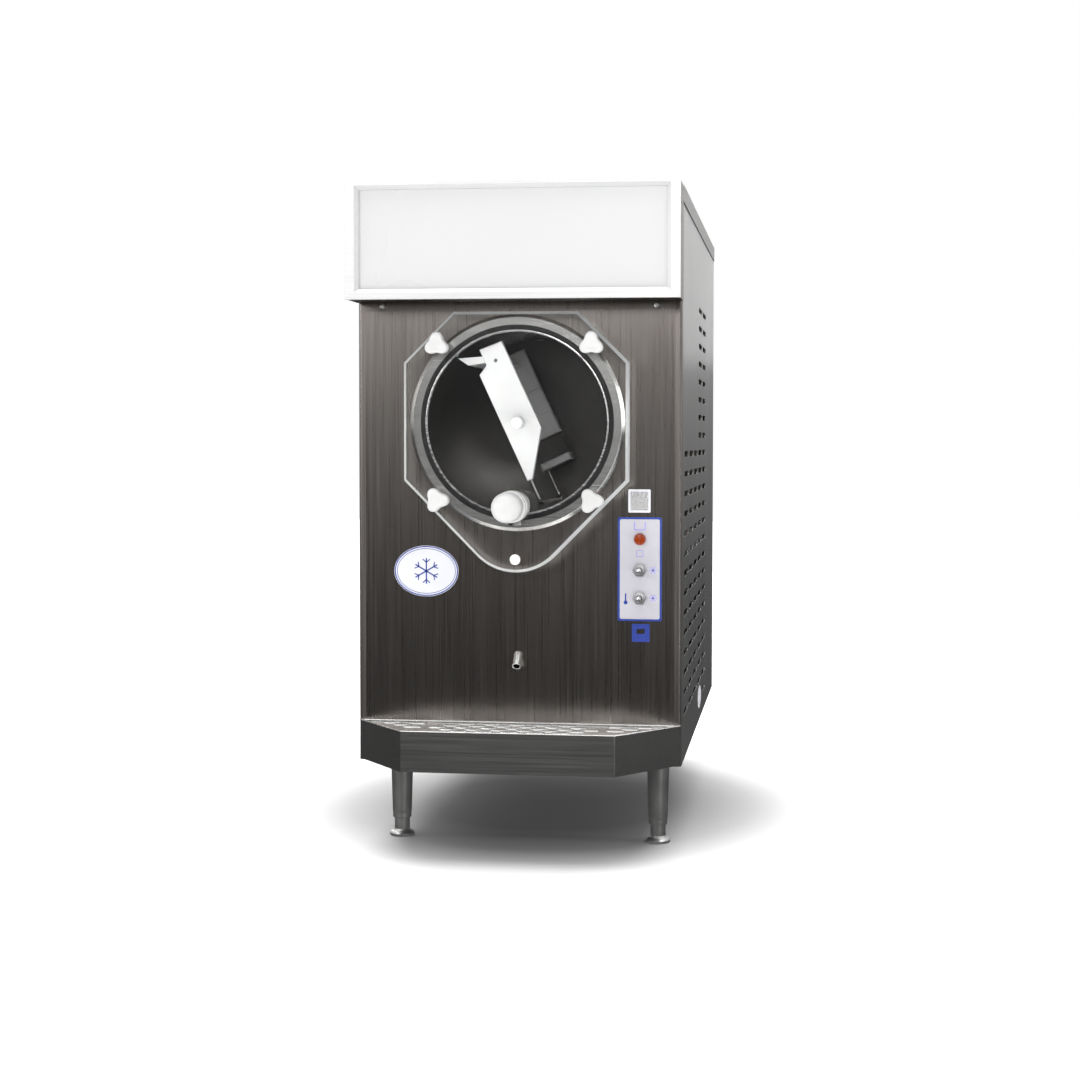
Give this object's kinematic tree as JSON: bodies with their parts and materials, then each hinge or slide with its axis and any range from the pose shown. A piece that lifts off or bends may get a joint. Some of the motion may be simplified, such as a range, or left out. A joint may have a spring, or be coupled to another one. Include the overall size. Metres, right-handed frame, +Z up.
{
  "type": "single barrel ice cream maker",
  "caption": "Countertop ice cream maker with a stainless cabinet, clear barrel door, draw knob, lit sign box and drip tray.",
  "frame": {"origin": "centre of the whole machine's footprint, on the surface it stands on", "axes": "+X to the right seen from the front, +Y to the back, +Z up; the front faces -Y"},
  "size_m": [0.4334, 0.861, 0.9113],
  "materials": {
    "brushed_stainless": "brushed",
    "plain_steel": "mill",
    "polished_steel": "polished",
    "clear_plastic": "clear polished",
    "white_acetal": "satin",
    "white_diffuser": "translucent",
    "tube_glass": "frosted",
    "black_rubber": "matte",
    "copper_tube": "drawn copper",
    "foam": "foam",
    "black_enamel": "gloss",
    "grey_enamel": "hammered",
    "cast_alloy": "cast",
    "label_film": "printed film",
    "orange_lens": "translucent",
    "toggle_chrome": "nickel plated",
    "black_plastic": "moulded"
  },
  "bodies": {
    "cabinet": {"base_pan": "plain_steel", "chassis_frame": "plain_steel", "mid_deck": "plain_steel", "front_panel": "brushed_stainless", "left_side_panel": "brushed_stainless", "right_side_panel": "brushed_stainless", "rear_panel": "brushed_stainless", "top_cover": "brushed_stainless", "light_box_housing": "brushed_stainless", "light_box_frame": "brushed_stainless", "light_box_lens": "white_diffuser", "light_box_tubes": "tube_glass", "freezing_barrel": "brushed_stainless", "barrel_ring": "polished_steel", "door_gasket": "black_rubber", "stud_frame": "plain_steel", "evaporator_coil": "copper_tube", "barrel_insulation": "foam", "rear_bearing": "cast_alloy", "gearbox": "cast_alloy", "drive_motor": "grey_enamel", "compressor": "black_enamel", "condenser_coil": "cast_alloy", "fan_shroud": "plain_steel", "fan_motor": "black_enamel", "refrigerant_lines": "copper_tube", "control_box": "plain_steel", "hopper_pan": "brushed_stainless", "feed_tube": "white_acetal", "control_label": "label_film", "indicator_lamp": "orange_lens", "switch_bodies": "toggle_chrome", "badge_plate": "label_film", "service_labels": "label_film", "drain_tube": "polished_steel", "leg_tubes": "polished_steel", "cord_gland": "black_plastic", "panel_screws": "polished_steel"},
    "dasher": {"dasher_front_arm": "white_acetal", "dasher_rear_arm": "white_acetal", "dasher_blade": "white_acetal", "dasher_rods": "polished_steel", "dasher_shaft": "polished_steel"},
    "condenser_fan": {"condenser_fan": "cast_alloy"},
    "door": {"door_plate": "clear_plastic"},
    "knob_upper_left": {"door_knob_upper_left": "white_acetal"},
    "knob_upper_right": {"door_knob_upper_right": "white_acetal"},
    "knob_lower_left": {"door_knob_lower_left": "white_acetal"},
    "knob_lower_right": {"door_knob_lower_right": "white_acetal"},
    "spigot": {"spigot_plunger": "white_acetal", "spigot_rings": "black_rubber"},
    "toggle_upper": {"toggle_lever_upper": "toggle_chrome"},
    "toggle_lower": {"toggle_lever_lower": "toggle_chrome"},
    "hopper_lid": {"hopper_lid": "brushed_stainless"},
    "drip_tray": {"drip_tray": "brushed_stainless"},
    "tray_grille": {"tray_grille": "brushed_stainless"},
    "foot_front_left": {"foot_front_left": "polished_steel"},
    "foot_front_right": {"foot_front_right": "polished_steel"},
    "foot_rear_left": {"foot_rear_left": "polished_steel"},
    "foot_rear_right": {"foot_rear_right": "polished_steel"}
  },
  "joints": [
    {"name": "dasher_spin", "type": "hinge", "parent": "cabinet", "child": "dasher", "pos_m": [0, -0.0185, 0.57], "axis": [0, 1, 0], "continuous": true},
    {"name": "fan_spin", "type": "hinge", "parent": "cabinet", "child": "condenser_fan", "pos_m": [0, 0.3075, 0.272], "axis": [0, 1, 0], "continuous": true},
    {"name": "door_slide", "type": "slide", "parent": "cabinet", "child": "door", "axis": [0, -1, 0], "range_m": [0, 0.1]},
    {"name": "knob_upper_left_turn", "type": "hinge", "parent": "door", "child": "knob_upper_left", "pos_m": [-0.101, -0.3555, 0.671], "axis": [0, 1, 0], "continuous": true},
    {"name": "knob_upper_right_turn", "type": "hinge", "parent": "door", "child": "knob_upper_right", "pos_m": [0.101, -0.3555, 0.671], "axis": [0, 1, 0], "continuous": true},
    {"name": "knob_lower_left_turn", "type": "hinge", "parent": "door", "child": "knob_lower_left", "pos_m": [-0.101, -0.3555, 0.469], "axis": [0, 1, 0], "continuous": true},
    {"name": "knob_lower_right_turn", "type": "hinge", "parent": "door", "child": "knob_lower_right", "pos_m": [0.101, -0.3555, 0.469], "axis": [0, 1, 0], "continuous": true},
    {"name": "spigot_draw", "type": "slide", "parent": "door", "child": "spigot", "axis": [0, -1, 0], "range_m": [0, 0.025]},
    {"name": "toggle_upper_throw", "type": "hinge", "parent": "cabinet", "child": "toggle_upper", "pos_m": [0.1605, -0.323, 0.3774], "axis": [1, 0, 0], "range_deg": [-12, 12]},
    {"name": "toggle_lower_throw", "type": "hinge", "parent": "cabinet", "child": "toggle_lower", "pos_m": [0.1605, -0.323, 0.341], "axis": [1, 0, 0], "range_deg": [-12, 12]},
    {"name": "hopper_lid_lift", "type": "slide", "parent": "cabinet", "child": "hopper_lid", "axis": [0, 0, 1], "range_m": [0, 0.15]},
    {"name": "drip_tray_pull", "type": "slide", "parent": "cabinet", "child": "drip_tray", "axis": [0, -1, 0], "range_m": [0, 0.08]},
    {"name": "tray_grille_lift", "type": "slide", "parent": "drip_tray", "child": "tray_grille", "axis": [0, 0, 1], "range_m": [0, 0.06]},
    {"name": "foot_front_left_screw", "type": "slide", "parent": "cabinet", "child": "foot_front_left", "axis": [0, 0, -1], "range_m": [0, 0.02]},
    {"name": "foot_front_right_screw", "type": "slide", "parent": "cabinet", "child": "foot_front_right", "axis": [0, 0, -1], "range_m": [0, 0.02]},
    {"name": "foot_rear_left_screw", "type": "slide", "parent": "cabinet", "child": "foot_rear_left", "axis": [0, 0, -1], "range_m": [0, 0.02]},
    {"name": "foot_rear_right_screw", "type": "slide", "parent": "cabinet", "child": "foot_rear_right", "axis": [0, 0, -1], "range_m": [0, 0.02]}
  ]
}
